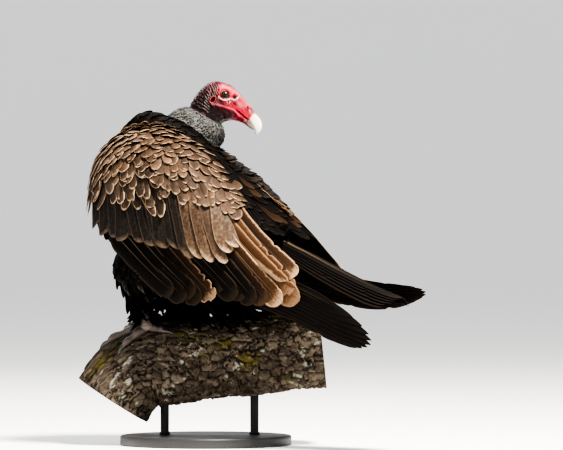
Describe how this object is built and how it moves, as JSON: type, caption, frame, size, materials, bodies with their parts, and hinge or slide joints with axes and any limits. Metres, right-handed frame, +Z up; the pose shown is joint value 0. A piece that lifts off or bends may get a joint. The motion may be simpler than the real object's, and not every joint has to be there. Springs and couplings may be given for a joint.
{
  "type": "turkey vulture",
  "caption": "Turkey vulture perched on a cut limb, wings folded and head turned back over its shoulder, on a plain display stand.",
  "frame": {"origin": "centre of the underside of the stand's base", "axes": "+Z up; the bird's body faces -Y with its tail towards +Y and its left side towards +X"},
  "size_m": [0.2896, 0.535, 0.5087],
  "materials": {
    "black_plumage": "soft, faintly glossy",
    "brown_plumage": "soft, with paler feather edges",
    "red_skin": "bare wrinkled skin",
    "dark_skin": "bare wrinkled skin",
    "ivory_horn": "smooth horn",
    "eye": "wet and glossy",
    "leg_skin": "scaly, partly whitened",
    "claw_horn": "dull horn",
    "bark": "rough bark with moss and lichen",
    "stand_paint": "satin dark paint"
  },
  "bodies": {
    "root": {"wing_left_coverts": "brown_plumage", "wing_left_secondaries": "brown_plumage", "wing_left_primaries": "black_plumage", "thigh_left": "black_plumage", "shank_left": "leg_skin", "foot_left": "leg_skin", "claw_left_1": "claw_horn", "claw_left_2": "claw_horn", "claw_left_3": "claw_horn", "claw_left_4": "claw_horn", "eye_left": "eye", "wing_right_coverts": "brown_plumage", "wing_right_secondaries": "brown_plumage", "wing_right_primaries": "black_plumage", "thigh_right": "black_plumage", "shank_right": "leg_skin", "foot_right": "leg_skin", "claw_right_1": "claw_horn", "claw_right_2": "claw_horn", "claw_right_3": "claw_horn", "claw_right_4": "claw_horn", "eye_right": "eye", "trunk": "black_plumage", "tail": "black_plumage", "neck_ruff": "black_plumage", "head": "red_skin", "neck_bare": "dark_skin", "bill_upper": "ivory_horn", "bill_lower": "ivory_horn", "perch_limb": "bark", "stand_base": "stand_paint", "stand_rod_front": "stand_paint", "stand_rod_rear": "stand_paint"}
  },
  "joints": []
}
